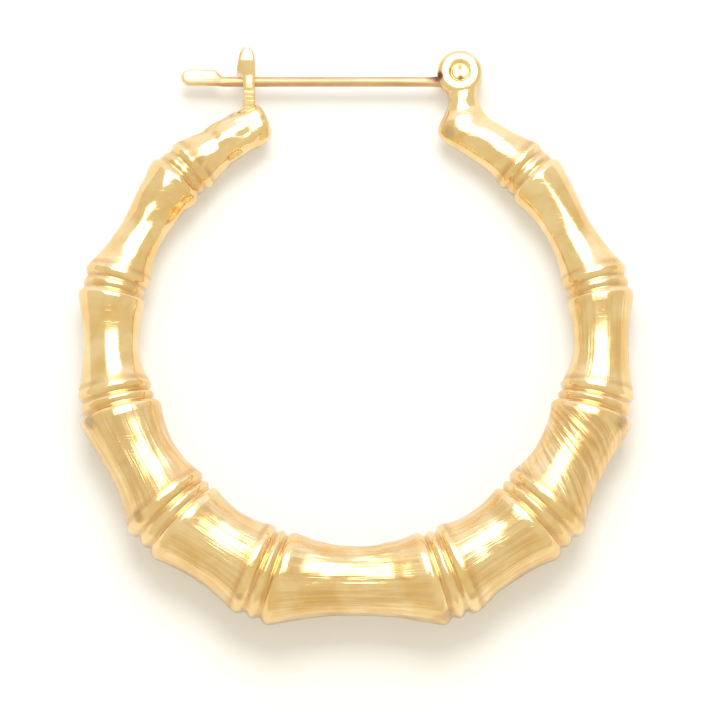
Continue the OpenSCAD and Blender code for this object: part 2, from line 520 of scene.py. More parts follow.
@dataclass(frozen=True)
class GoldFinish:
    """One gold finish: colours as linear RGB, lengths in millimetres."""

    name: str
    bright: Colour = (1.0, 0.775, 0.41)
    deep: Colour = (0.89, 0.6, 0.235)
    deep_patches: Point = (0.35, 0.68)
    dark: Colour = (0.62, 0.34, 0.11)
    # Colour of the dark spots: painted shade at the hinge and the post's root, darker spots on the
    # tube.
    dark_spot: Colour = (0.2, 0.06, 0.02)
    rubbed: Colour = (0.96, 0.78, 0.49)
    polish: float = 0.1
    satin: float = 0.06
    rubbed_polish: float = 0.34
    cloud_polish: float = 0.06
    scratch_polish: float = 0.06
    tarnish_and_dark_reflection_polish: float = 0.15
    dark_spot_polish: float = 0.4
    # How far tarnish and the painted dark reflection on the flares blend towards dark.
    tarnish_and_dark_reflection: float = 0.6
    grain: Grain = Grain.ALONG_WIRE
    own_lines: float = 0.0
    line_spacing: float = 0.38
    line_length: float = 5.0
    line_relief: float = 2.4
    line_dirt: float = 0.34
    lacquer: float = 0.55
    lacquer_roughness: float = 0.12
    lacquer_ior: float = 1.5
    patch_scale: float = 420.0
    patch_relief: float = 1.3
    relief: float = 0.05
    relief_strength: float = 0.8

    def make(self, effects: GoldEffects) -> Material:
        """Builds the material.

        Args:
            effects: The shared node groups.

        Returns:
            The finished material.
        """
        material = bpy.data.materials.new(self.name)
        sheet = empty_sheet(material)
        place = sheet.add("ShaderNodeTexCoord").outputs["Object"]
        engraved = sheet.math("MAXIMUM", sheet.painted("engraved"), self.own_lines)
        dark_spot, worn, groove = (sheet.painted(layer) for layer in ("dark_spot", "worn", "groove"))
        marks = sheet.group(effects.marks, {"Vector": place, "Scale": self.patch_scale})
        # The groove layer holds tarnish in the grooves and, above each joint, the painted dark
        # reflection on the flare.
        tarnish_and_dark_reflection = sheet.group(effects.tarnish_and_dark_reflection, {"Vector": place, "Depth": groove})[0]
        lines = self._lines(sheet, effects, place)

        gold = sheet.blend(sheet.ramp(marks["Cloud"], *self.deep_patches), self.bright, self.deep)
        gold = sheet.blend(worn, gold, self.rubbed)
        dirt = sheet.math("MULTIPLY", engraved, self.line_dirt)
        gold = sheet.blend(sheet.math("MULTIPLY", lines["Lines"], dirt), gold, self.dark)
        gold = sheet.blend(sheet.math("MULTIPLY", tarnish_and_dark_reflection, self.tarnish_and_dark_reflection), gold, self.dark)
        # Dark spots: painted shade at the hinge and the post's root, darker spots on the tube.
        gold = sheet.blend(dark_spot, gold, self.dark_spot)

        rough = sheet.math("MULTIPLY_ADD", engraved, self.satin, self.polish)
        for mask, share in (
            (worn, self.rubbed_polish - self.polish),
            (marks["Cloud"], self.cloud_polish),
            (marks["Scratches"], self.scratch_polish),
            (tarnish_and_dark_reflection, self.tarnish_and_dark_reflection_polish),
            (dark_spot, self.dark_spot_polish),
        ):
            rough = sheet.math("MULTIPLY_ADD", mask, share, rough)

        cut = sheet.math("MULTIPLY", engraved, self.line_relief)
        height = sheet.math("MULTIPLY", lines["Height"], cut)
        height = sheet.math("MULTIPLY_ADD", marks["Height"], self.patch_relief, height)
        bump = {"Strength": self.relief_strength, "Distance": self.relief * MM, "Height": height}
        inputs = {
            "Base Color": gold,
            "Metallic": 1.0,
            "Roughness": rough,
            "Normal": sheet.add("ShaderNodeBump", bump).outputs[0],
            "Coat Weight": self.lacquer,
            "Coat Roughness": self.lacquer_roughness,
            "Coat IOR": self.lacquer_ior,
        }
        sheet.principled(inputs)
        return material

    def _lines(
        self, sheet: NodeSheet, effects: GoldEffects, place: Socket
    ) -> bpy.types.NodeOutputs:
        """Places the engraved lines in the direction that this finish wants.

        Args:
            sheet: The material's sheet.
            effects: The shared node groups.
            place: The Object coordinates.

        Returns:
            What the group of the lines puts out.
        """
        if self.grain is Grain.FROM_MAP:
            way = sheet.add("ShaderNodeUVMap", uv_map="grain").outputs[0]
        else:
            turn = {"Vector": place, "Rotation": (0.0, 0.0, math.pi / 2), "Scale": (1 / MM,) * 3}
            way = sheet.add("ShaderNodeMapping", turn).outputs[0]
        inputs = {"Vector": way, "Line Spacing": self.line_spacing, "Line Length": self.line_length}
        return sheet.group(effects.grain, inputs)


# ---- The bamboo tube ----


@dataclass(frozen=True)
class BambooJoint:
    """One joint of the tube: two flares with a ring between two grooves."""

    angle: float
    outer: float
    inner: float
    outer_up: float
    inner_up: float
    spread: float
    groove: float
    ring: float

    def half_angle(self, up: bool) -> float:
        """The angle from the joint's middle to its upper or lower flare."""
        middle = (self.outer_up + self.inner_up) / 2 if up else (self.outer + self.inner) / 2
        return math.degrees(self.spread / middle)

    def reach(self, up: bool) -> float:
        """The angle at which the joint gives way to the segment above or below it."""
        return self.angle + (self.half_angle(True) if up else -self.half_angle(False))


@dataclass(frozen=True)
class Waist:
    """The thinnest place of a segment."""

    angle: float
    outer: float
    inner: float


@dataclass(frozen=True)
class TubePoint:
    """The tube's cross-section at one place, and how far it is darkened: tarnish in the grooves
    and, above each joint, a painted dark reflection on the flare.
    """

    outer: float
    inner: float
    groove: float = 0.0


@dataclass(frozen=True)
class Rib:
    """One rib of the bend from the tube into the neck: its two edges and half its depth."""

    inner: Point
    outer: Point
    half_depth: float

    def row(self) -> Vector:
        """The rib as one vector, for a smooth curve through ribs."""
        return Vector((*self.inner, *self.outer, self.half_depth))


@dataclass(frozen=True)
class Unevenness:
    """Noise that lowers the surface: its rates along and round the tube, its kind and its depth."""

    along: float
    about: float
    kind: float
    depth: float
    base: float

    def at(self, along: float, turn: float) -> float:
        """The depth at a length along the tube and a turn round it."""
        across, up = math.cos(turn) * self.about, math.sin(turn) * self.about + self.kind
        return self.depth * (self.base + noise.noise(Vector((along * self.along, across, up))))


@dataclass
class BambooTube:
    """The tapered tube with its ten joints: closed on the left, bent into the neck on the right."""

    lying: Lying
    joints: tuple[BambooJoint, ...] = (
        BambooJoint(20.8, 22.36, 14.97, 22.33, 15.06, 1.20, 0.42, 0.30),
        BambooJoint(46.4, 22.24, 15.14, 22.24, 15.11, 1.22, 0.40, 0.28),
        BambooJoint(76.2, 21.59, 15.26, 21.21, 15.61, 1.08, 0.36, 0.24),
        BambooJoint(103.5, 21.21, 16.10, 21.13, 16.06, 1.02, 0.30, 0.14),
        BambooJoint(135.4, 20.79, 16.16, 20.61, 16.29, 1.00, 0.27, 0.12),
    )
    waists: tuple[Waist, ...] = (
        Waist(0.0, 20.62, 15.30),
        Waist(33.5, 21.57, 15.35),
        Waist(61.5, 21.04, 15.53),
        Waist(89.5, 20.51, 16.24),
        Waist(119.0, 19.95, 16.47),
        Waist(147.0, 20.08, 16.66),
    )
    depth: float = 0.94
    middle_radius: float = 18.5
    swell_power: float = 2.1
    shoulder_power: float = 1.4
    groove_at: float = 0.46
    lip_reach: float = 0.42
    end_angle: float = 156.6
    end_outer: float = 20.0
    end_inner: float = 16.9
    end_round: float = 0.7
    end_flat: float = 0.5
    end_dome: tuple[Point, ...] = (
        (0.88, 0.014),
        (0.7, 0.02),
        (0.5, 0.016),
        (0.3, 0.01),
        (0.12, 0.004),
    )
    sides: int = 96
    joint_steps: int = 44
    segment_steps: int = 22
    end_steps: int = 10
    waves: Unevenness = Unevenness(0.42, 1.2, 5.0, 0.025, 1.0)
    lumps: Unevenness = Unevenness(0.95, 2.4, 9.0, 0.15, 0.3)
    wrinkles: Unevenness = Unevenness(0.3, 5.5, 2.0, 0.032, 0.35)
    lumpy_left: Point = (-95.0, -140.0)
    lumpy_bottom: Point = (100.0, 20.0)
    lumpy_bottom_share: float = 0.4
    upper_engraving: float = 0.6
    fade_at_top: float = 1.5
    fade_at_joint: float = 1.2
    askew: float = 1.1
    askew_depth: float = 1.5
    map_width: float = 2.9
    # Painted dark reflection on the flare above each joint: how strongly its colour is darkened,
    # and over how many degrees it thins out.
    painted_dark_reflection: float = 1.15
    painted_dark_reflection_reach: float = 3.8
    # Darker golden-brown spots painted on the tube.
    dark_spots: tuple[DarkSpot, ...] = (
        DarkSpot((-19.9, -6.1, 1.6), 0.9, 0.5),
        DarkSpot((19.8, -6.1, 1.6), 0.9, 0.5),
        DarkSpot((6.7, -20.7, 1.3), 0.9, 0.4),
        DarkSpot((8.7, -19.6, 2.2), 0.5, 0.3),
        DarkSpot((-8.7, -19.6, 2.2), 0.5, 0.3),
        DarkSpot((-16.4, -13.5, 2.4), 0.7, 0.4),
        DarkSpot((-15.1, -10.6, 2.9), 0.5, 0.25),
        DarkSpot((-7.95, 16.9, 1.45), 0.7, 0.35),
        DarkSpot((6.9, 16.1, 1.2), 0.8, 0.35),
    )
    bend_from: float = 147.5
    bend: tuple[Rib, ...] = (
        Rib((7.62, 14.93), (10.36, 17.14), 1.54),
        Rib((6.42, 15.72), (9.96, 17.44), 1.40),
        Rib((6.16, 16.58), (9.60, 17.86), 1.24),
        Rib((6.62, 17.60), (9.29, 18.43), 0.99),
        Rib((6.96, 18.50), (9.13, 19.02), 1.0),
        Rib((6.80, 19.58), (9.14, 19.58), 1.05),
        Rib((6.55, 20.60), (9.20, 20.15), 1.1),
    )
    bend_lead: float = 4.0
    bend_steps: int = 60
    bend_span: float = 16.0
    squared_from: float = 0.7
    squareness: float = 0.25
    slot: float = SLOT_WIDTH
    cheek_top: float = 19.7
    cheek_spread: float = 1.02

    def build(self, material: Material) -> Object:
        """Builds and dresses the tube.

        Args:
            material: The tube's gold.

        Returns:
            The finished piece.
        """
        stations = self._stations()
        bm = bmesh.new()
        bmesh.ops.create_grid(bm, x_segments=self.sides, y_segments=len(stations) - 1, size=1.0)
        turn = bm.verts.layers.float.new("turn")
        self._shape(bm, stations, turn)
        weld(bm, 1e-4)
        self._bend_into_neck(bm, turn)
        self._cut_slot(bm)
        self._close_left_end(bm)
        mark_dark_spots(bm, self.dark_spots)
        bm.verts.layers.float.remove(bm.verts.layers.float["turn"])
        face_outwards(bm)
        return finish_piece(bm, "bamboo_tube", Body.HOOP, material, self.lying)

    def _stations(self) -> list[Point]:
        """Places along the tube that get a cross-section.

        Returns:
            (angle, share of the end's rounding from 0 to 1), from the left end to the right.
        """

        def stretch(start: float, end: float, steps: int) -> list[float]:
            """Evenly spread angles after the first one."""
            return [start + (end - start) * (k + 1) / steps for k in range(steps)]

        side = [self.waists[0].angle]
        for joint in self.joints:
            low, high = joint.reach(False), joint.reach(True)
            side += stretch(side[-1], low, self.segment_steps)
            side += stretch(low, high, self.joint_steps)
        left = stretch(side[-1], self.end_angle, self.segment_steps)
        right = stretch(side[-1], self.bend_from, self.segment_steps)
        end = [(-self.end_angle, k / self.end_steps) for k in range(self.end_steps, 0, -1)]
        end += [(-angle, 0.0) for angle in reversed(side[1:] + left)]
        return end + [(angle, 0.0) for angle in side + right]

    def _raw_section(self, angle: float) -> TubePoint:
        """The cross-section before its edges are eased.

        Args:
            angle: Where along the tube, on either side alike.

        Returns:
            The cross-section.
        """
        below = None
        for joint, waist in zip(self.joints, self.waists):
            if angle <= joint.reach(False):
                return self._swell(angle, waist, below, joint)
            if angle <= joint.reach(True):
                return self._joint_section(angle, joint)
            below = joint
        return self._swell(angle, self.waists[-1], below, None)

    def _joint_section(self, angle: float, joint: BambooJoint) -> TubePoint:
        """The cross-section within a joint.

        Args:
            angle: Where along the tube.
            joint: The joint.

        Returns:
            The cross-section, with how deep in a groove it is.
        """
        place = (angle - joint.angle) / joint.half_angle(angle > joint.angle)
        share = (place + 1) / 2
        outer = joint.outer + (joint.outer_up - joint.outer) * share
        inner = joint.inner + (joint.inner_up - joint.inner) * share
        far = abs(place)
        if far >= self.groove_at:
            fall = joint.groove * ((1 - far) / (1 - self.groove_at)) ** 3
        else:
            fall = joint.groove - joint.ring * (1 + math.cos(math.pi * far / self.groove_at)) / 2
        return TubePoint(outer - fall, inner + fall, min(1.0, fall / joint.groove))

    def _swell(
        self, angle: float, waist: Waist, below: BambooJoint | None, above: BambooJoint | None
    ) -> TubePoint:
        """The cross-section between a waist and the joints beside it.

        Args:
            angle: Where along the tube.
            waist: The segment's waist.
            below: The joint under it, if there is one.
            above: The joint over it, or None at the tube's end.

        Returns:
            The cross-section, with the painted dark reflection on the flare, which thins out above
            a joint.
        """
        painted_dark_reflection, power = 0.0, self.swell_power
        if angle <= waist.angle:
            if below is None:
                return TubePoint(waist.outer, waist.inner)
            low = below.reach(True)
            outer, inner = below.outer_up, below.inner_up
            share = (waist.angle - angle) / (waist.angle - low)
            # Painted dark reflection: the flare above the joint below is darkened in colour, less
            # so further up.
            painted_dark_reflection = self.painted_dark_reflection * smooth_step(self.painted_dark_reflection_reach, 0.0, angle - low)
        elif above is None:
            outer, inner = self.end_outer, self.end_inner
            share = (angle - waist.angle) / (self.end_angle - waist.angle)
        else:
            outer, inner = above.outer, above.inner
            share = (angle - waist.angle) / (above.reach(False) - waist.angle)
            power = self.shoulder_power if above is self.joints[-1] else self.swell_power
        share = min(1.0, max(0.0, share))
        return TubePoint(
            waist.outer + (outer - waist.outer) * share**power,
            waist.inner + (inner - waist.inner) * share**self.swell_power,
            painted_dark_reflection,
        )

    def section(self, angle: float) -> TubePoint:
        """The cross-section, with the lips of the flares eased as polishing leaves them.

        Args:
            angle: Where along the tube.

        Returns:
            The cross-section.
        """
        near, weights = [], (1.0, 2.0, 3.0, 2.0, 1.0)
        for step in (-1.0, -0.5, 0.0, 0.5, 1.0):
            place = min(abs(angle + step * self.lip_reach), self.end_angle)
            near.append(self._raw_section(place))
        rows = zip(*((p.outer, p.inner, p.groove) for p in near))
        return TubePoint(*(sum(v * w for v, w in zip(row, weights)) / sum(weights) for row in rows))

    def engraving(self, angle: float) -> float:
        """How strongly the tube is engraved: the five lowest segments and, on the right, the next.

        Args:
            angle: Where along the tube.

        Returns:
            A share: 0 where the tube is plain, 1 where it is engraved, more where it is askew.
        """
        top = self.joints[3].angle if angle > 0 else self.joints[2].angle
        strength = 1.0 if abs(angle) < self.joints[2].angle else self.upper_engraving
        if self.line_lean(angle):
            strength = self.askew_depth
        strength *= smooth_step(0.0, -self.fade_at_top, abs(angle) - top)
        near = min(abs(abs(angle) - j.angle) - j.half_angle(True) for j in self.joints)
        return strength * smooth_step(0.0, self.fade_at_joint, near)

    def line_lean(self, angle: float) -> float:
        """How far the engraved lines turn from the tube's run: they are askew on one segment."""
        return self.askew if self.joints[1].angle < angle < self.joints[2].angle else 0.0

    def _shape(self, bm: Mesh, stations: list[Point], layer: Layer) -> None:
        """Wraps a grid round the bamboo's shape and maps it, with its seam underneath.

        Args:
            bm: The grid.
            stations: The places along the tube.
            layer: Where each vertex notes its place round the tube.
        """
        engraved = bm.verts.layers.float.new("engraved")
        # The groove layer holds tarnish in the grooves and, above each joint, the painted dark
        # reflection on the flare.
        groove = bm.verts.layers.float.new("groove")
        grain = bm.loops.layers.uv.new("grain")
        spots: dict[bmesh.types.BMVert, tuple[int, float]] = {}
        for vert in bm.verts:
            station = round((vert.co.y + 1) / 2 * (len(stations) - 1))
            spots[vert] = (station, (vert.co.x + 1) * math.pi - math.pi / 2)
        sections = [self.section(angle) for angle, _ in stations]
        engraving = [self.engraving(angle) for angle, _ in stations]
        for vert, (station, turn) in spots.items():
            vert.co = self._surface(*stations[station], sections[station], turn)
            vert[engraved] = engraving[station]
            vert[groove] = sections[station].groove
            vert[layer] = turn
        for face in bm.faces:
            angles = [stations[spots[v][0]][0] for v in face.verts]
            turns = [spots[v][1] for v in face.verts]
            lean = Matrix.Rotation(self.line_lean(sum(angles) / len(angles)), 2)
            for loop, angle, turn in zip(face.loops, angles, turns):
                loop[grain].uv = lean @ Vector((turn * self.map_width, self._length(angle)))

    def _length(self, angle: float) -> float:
        """The length along the tube's middle at an angle."""
        return math.radians(angle) * self.middle_radius

    def _surface(self, angle: float, rounding: float, spot: TubePoint, turn: float) -> Vector:
        """A point of the tube's surface.

        Args:
            angle: Where along the tube.
            rounding: How far into the end's rounding it is, from 0 to 1.
            spot: The cross-section there.
            turn: Where round the cross-section it is, from the outer side up.

        Returns:
            The point.
        """
        middle, half = (spot.outer + spot.inner) / 2, (spot.outer - spot.inner) / 2
        lean = math.radians(90.0 * rounding)
        half *= 1 - (1 - self.end_flat) * (1 - math.cos(lean))
        along = self.end_round * math.sin(lean) / middle
        where = math.radians(angle) + math.copysign(along, angle)
        half -= self._waste(math.degrees(where), turn)
        radius = middle + half * math.cos(turn)
        rise = half * self.depth * math.sin(turn)
        return Vector((radius * math.sin(where), -radius * math.cos(where), rise))

    def _waste(self, angle: float, turn: float) -> float:
        """How far the surface lies under its drawn shape: hand work and wear leave it uneven.

        Args:
            angle: Where along the tube.
            turn: Where round the cross-section it is.

        Returns:
            The depth.
        """
        place = (self._length(angle), turn)
        lumpy = self.lumpy_bottom_share * smooth_step(*self.lumpy_bottom, abs(angle))
        lumpy += smooth_step(*self.lumpy_left, angle)
        waste = self.waves.at(*place) + lumpy * self.lumps.at(*place)
        return waste + self.engraving(angle) * self.wrinkles.at(*place)

    def _close_left_end(self, bm: Mesh) -> None:
        """Closes the left end with a slightly domed cap.

        Args:
            bm: The shaped tube.
        """
        cap = cap_end(bm, Side.LEFT)
        way = math.radians(self.end_angle)
        onward = Vector((-math.cos(way), math.sin(way), 0.0))
        middle, last = cap.calc_center_median(), 1.0
        for size, rise in self.end_dome:
            cap = extrude_face(bm, cap)
            for vert in cap.verts:
                vert.co = middle + (vert.co - middle) * (size / last) + onward * rise
            middle, last = middle + onward * rise, size
        bmesh.ops.poke(bm, faces=[cap])

    def _rib_at(self, angle: float) -> Vector:
        """The tube's own rib.

        Args:
            angle: Where along the tube.

        Returns:
            The rib as one vector.
        """
        spot, way = self.section(angle), math.radians(angle)
        edge = Vector((math.sin(way), -math.cos(way)))
        half_depth = (spot.outer - spot.inner) / 2 * self.depth
        return Vector((*(edge * spot.inner), *(edge * spot.outer), half_depth))

    def _bend_into_neck(self, bm: Mesh, layer: Layer) -> None:
        """Draws the right end on, round the bend and up to the floor of the hinge's slot.

        Args:
            bm: The shaped tube.
            layer: Where each vertex notes its place round the tube.
        """
        ribs = [self._rib_at(self.bend_from - lead) for lead in (self.bend_lead, 0.0)]
        ribs += [rib.row() for rib in self.bend]
        cap = cap_end(bm, Side.RIGHT)
        for step in range(1, self.bend_steps + 1):
            cap = extrude_face(bm, cap)
            share = step / self.bend_steps
            rib = glide(ribs, share * (len(ribs) - 3))
            inner, outer = Vector(rib[0:2]), Vector(rib[2:4])
            middle, half = (inner + outer) / 2, (outer - inner).length / 2
            across = (outer - inner).normalized()
            square = 1.0 - self.squareness * smooth_step(self.squared_from, 1.0, share)
            angle = self.bend_from + share * self.bend_span
            for vert in cap.verts:
                cos, sin = math.cos(vert[layer]), math.sin(vert[layer])
                waste = self._waste(angle, vert[layer]) * (1 - share)
                wide = math.copysign(abs(cos) ** square, cos) * (half - waste)
                rise = math.copysign(abs(sin) ** square, sin) * (rib[4] - waste * self.depth)
                vert.co = Vector((*(middle + across * wide), rise))

    def _cut_slot(self, bm: Mesh) -> None:
        """Slots the neck's top and draws its two cheeks up into the ears.

        Args:
            bm: The tube with its neck.
        """
        top, face = self.bend[-2], self.slot / 2
        floor, middle = top.inner[1], (top.inner[0] + top.outer[0]) / 2
        for side in (-face, face):
            caps = self._faces_at(bm, floor)
            around = list({g for f in caps for g in [*f.verts, *f.edges]})
            bmesh.ops.bisect_plane(
                bm, geom=caps + around, plane_co=(0, 0, side), plane_no=(0, 0, 1), dist=1e-6
            )
        for cheek in [f for f in self._faces_at(bm, floor) if abs(f.calc_center_median().z) > face]:
            for vert in extrude_face(bm, cheek).verts:
                vert.co.x = middle + (vert.co.x - middle) * self.cheek_spread
                vert.co.y = self.cheek_top

    def _faces_at(self, bm: Mesh, y: float) -> list[Face]:
        """The level faces at a height."""
        return [f for f in bm.faces if all(abs(v.co.y - y) < 1e-5 for v in f.verts)]


# ---- The hinge ----


@dataclass
class Hinge:
    """The two round ears and the rivet through them."""

    lying: Lying
    x: float = 7.8
    y: float = 20.75
    ear_radius: float = 1.68
    ear_ease: float = 0.05
    rim_width: float = 1.03
    rim_height: float = 0.44
    rim_lift: float = 0.22
    rim_flatness: float = 0.32
    rim_fall: float = 0.85
    rim_turn: Point = (-0.2, 0.7)
    rim_inset: float = 0.02
    dish: float = 0.44
    dish_ease: float = 0.04
    slot: float = SLOT_WIDTH
    rivet_radius: float = 0.3
    bore_gap: float = 0.02
    head_radius: float = 0.6
    head_height: float = 0.17
    head_edge: float = 0.09
    head_gap: float = 0.02
    head_inset: float = 0.03
    head_dents: tuple[Point, ...] = ((0.4, 0.02), (0.26, 0.012), (0.12, -0.01), (0.0, -0.015))
    # Painted shade: a dark spot where the post enters between the ears, and dark spots on and round
    # the rivet head.
    dark_spots: tuple[DarkSpot, ...] = (
        DarkSpot((-1.5, -0.3, 0.95), 0.5),
        DarkSpot((0.06, -0.44, 1.0), 0.3, 0.75),
        DarkSpot((0.02, 0.36, 1.0), 0.3, 0.5),
        DarkSpot((-0.58, 0.06, 0.98), 0.34, 0.35),
    )

    def _finish(self, bm: Mesh, name: str, material: Material) -> Object:
        """Stains a piece that was turned about the origin and brings it to the rivet.

        Args:
            bm: The piece.
            name: Its name.
            material: Its gold.

        Returns:
            The finished piece.
        """
        face_outwards(bm)
        mark_dark_spots(bm, self.dark_spots)
        move(bm, (self.x, self.y, 0.0))
        return finish_piece(bm, name, Body.HOOP, material, self.lying)

    def build_ears(self, material: Material) -> Object:
        """Builds both ears: a raised round rim about a shallow dish with a bore.

        Args:
            material: The tube's gold.

        Returns:
            The finished piece.
        """
        bm = bmesh.new()
        face, floor = self.slot / 2, self.slot / 2 + self.dish
        bore, ease = self.rivet_radius + self.bore_gap, self.ear_ease
        cut = ((self.dish - self.rim_lift) / self.rim_height) ** (1 / self.rim_flatness)
        half, radius = self.rim_width / 2, self.ear_radius
        rim = []
        end = 180.0 - math.degrees(math.asin(cut))
        for x, y in arc_points((0.0, 0.0), 1.0, 0.0, end, steps=26):
            fall = (self.rim_fall - self.rim_flatness) * smooth_step(*self.rim_turn, x)
            height = self.rim_height * y ** (self.rim_flatness + fall)
            rim.append((radius - half + half * x, face + self.rim_lift + height))
        dish = [(rim[-1][0] - self.rim_inset, floor), (bore + self.dish_ease, floor)]
        profile = [(bore, face), (radius - ease, face), (radius, face + ease)]
        profile += rim + dish + [(bore, floor - self.dish_ease), (bore, face)]
        spin_profile(bm, profile, steps=72)
        mirror(bm)
        return self._finish(bm, "hinge_ears", material)

    def build_rivet(self, material: Material) -> Object:
        """Builds the rivet: a shaft and two heads, hammered nearly flat.

        Args:
            material: The rivet's gold.

        Returns:
            The finished piece.
        """
        bm = bmesh.new()
        shaft, wide, edge = self.rivet_radius, self.head_radius, self.head_edge
        head = self.slot / 2 + self.dish + self.head_gap
        flat = head + self.head_height
        profile = [(shaft, 0.0), (shaft, head), (wide - self.head_inset, head)]
        profile += arc_points((wide - edge, flat - edge), edge, 0.0, 90.0, steps=6)
        profile += [(radius, flat + rise) for radius, rise in self.head_dents]
        spin_profile(bm, profile, steps=48)
        mirror(bm, 1e-4)
        weld(bm)
        return self._finish(bm, "hinge_rivet_heads", material)


# ---- The post ----


@dataclass
class EarPost:
    """The straight wire with its pressed tip, its flattened root and its eye on the rivet."""

    lying: Lying
    hinge_x: float = Hinge.x
    hinge_y: float = Hinge.y
    drop: float = 0.58
    radius: float = 0.37
    eye_radius: float = 1.12
    eye_thickness: float = 0.72
    eye_ease: float = 0.07
    bore: float = 0.34
    tip_x: float = -13.16
    tip_radius: float = 0.62
    tip_row: float = 0.55
    tip_length: float = 1.8
    tip_taper: float = 0.75
    tip_fade: float = 0.8
    tip_thickness: float = 0.84
    tip_roundness: float = 0.9
    tip_rise: float = 0.32
    worn_from: float = 1.2
    worn_to: float = 3.4
    ear_radius: float = Hinge.ear_radius
    ear_gap: float = 0.2
    root_lead: float = 0.2
    root_step: float = 0.12
    root_swell: float = 0.06
    root_to_hinge: float = 0.9
    # Painted shade where the post's root meets the ears.
    dark_spots: tuple[DarkSpot, ...] = (DarkSpot((6.1, 20.5, 0.3), 0.68, 0.95),)

    def build(self, material: Material) -> Object:
        """Builds and dresses the post.

        Args:
            material: The wire's gold.

        Returns:
            The finished piece.
        """
        bm = bmesh.new()
        self._wire(bm)
        self._eye(bm)
        mark_dark_spots(bm, self.dark_spots)
        worn = bm.verts.layers.float.new("worn")
        for vert in bm.verts:
            along = vert.co.x - self.tip_x
            vert[worn] = 1 - smooth_step(self.worn_from, self.worn_to, along)
        return finish_piece(bm, "ear_post_wire", Body.POST, material, self.lying)

    def _wire(self, bm: Mesh) -> None:
        """Turns the wire from its tip to its root and presses both.

        Args:
            bm: The mesh that gets it.
        """
        tip, wire, taper = self.tip_radius, self.radius, self.tip_taper
        end = tip + self.tip_length
        pressed_end = end + self.tip_fade
        root = self.hinge_x - self.ear_radius - self.ear_gap - self.tip_x
        length = self.hinge_x - self.root_to_hinge - self.tip_x
        profile = [(r, z + tip) for r, z in arc_points((0.0, 0.0), tip, -90, 0, steps=12)]
        profile[0] = (0.0, 0.0)
        profile += [(tip, tip + self.tip_row * k) for k in (1, 2, 3)] + [(tip, end)]
        for k in range(1, 7):
            profile.append((tip + (wire - tip) * smooth_step(0, 1, k / 6), end + taper * k / 6))
        straight = root - end - (taper + self.root_lead)
        profile += [(wire, end + taper + straight * k / 24) for k in range(1, 25)]
        wide = wire + self.root_swell
        profile += [(wide, root + self.root_step), (wide, length), (0.0, length)]
        spin_profile(bm, profile, steps=40)
        for vert in bm.verts:
            x, y, along = vert.co
            if along < pressed_end:
                half = self.tip_thickness / 2
                limit = half * math.tanh(abs(x) / half * self.tip_roundness)
                x = math.copysign(min(abs(x), limit), x)
                y += self.tip_rise
                if along > end:
                    y -= self.tip_rise * smooth_step(end, pressed_end, along)
            elif along > root:
                y = max(-self.radius, min(self.radius, y))
                x = max(-self.eye_thickness / 2, min(self.eye_thickness / 2, x))
            vert.co = Vector((self.tip_x + along, self.hinge_y - self.drop + y, x))
        face_outwards(bm)

    def _eye(self, bm: Mesh) -> None:
        """Adds the flat eye with its bore.

        Args:
            bm: The mesh that gets it.
        """
        eye = bmesh.new()
        half, ease = self.eye_thickness / 2, self.eye_ease
        profile = [(self.bore, -half), (self.bore, half)]
        profile += arc_points((self.eye_radius - ease, half - ease), ease, 90, 0, steps=4)
        profile += arc_points((self.eye_radius - ease, ease - half), ease, 0, -90, steps=4)
        spin_profile(eye, [*profile, profile[0]], steps=56)
        move(eye, (self.hinge_x, self.hinge_y, 0.0))
        absorb(bm, eye)


# ---- The catch ----


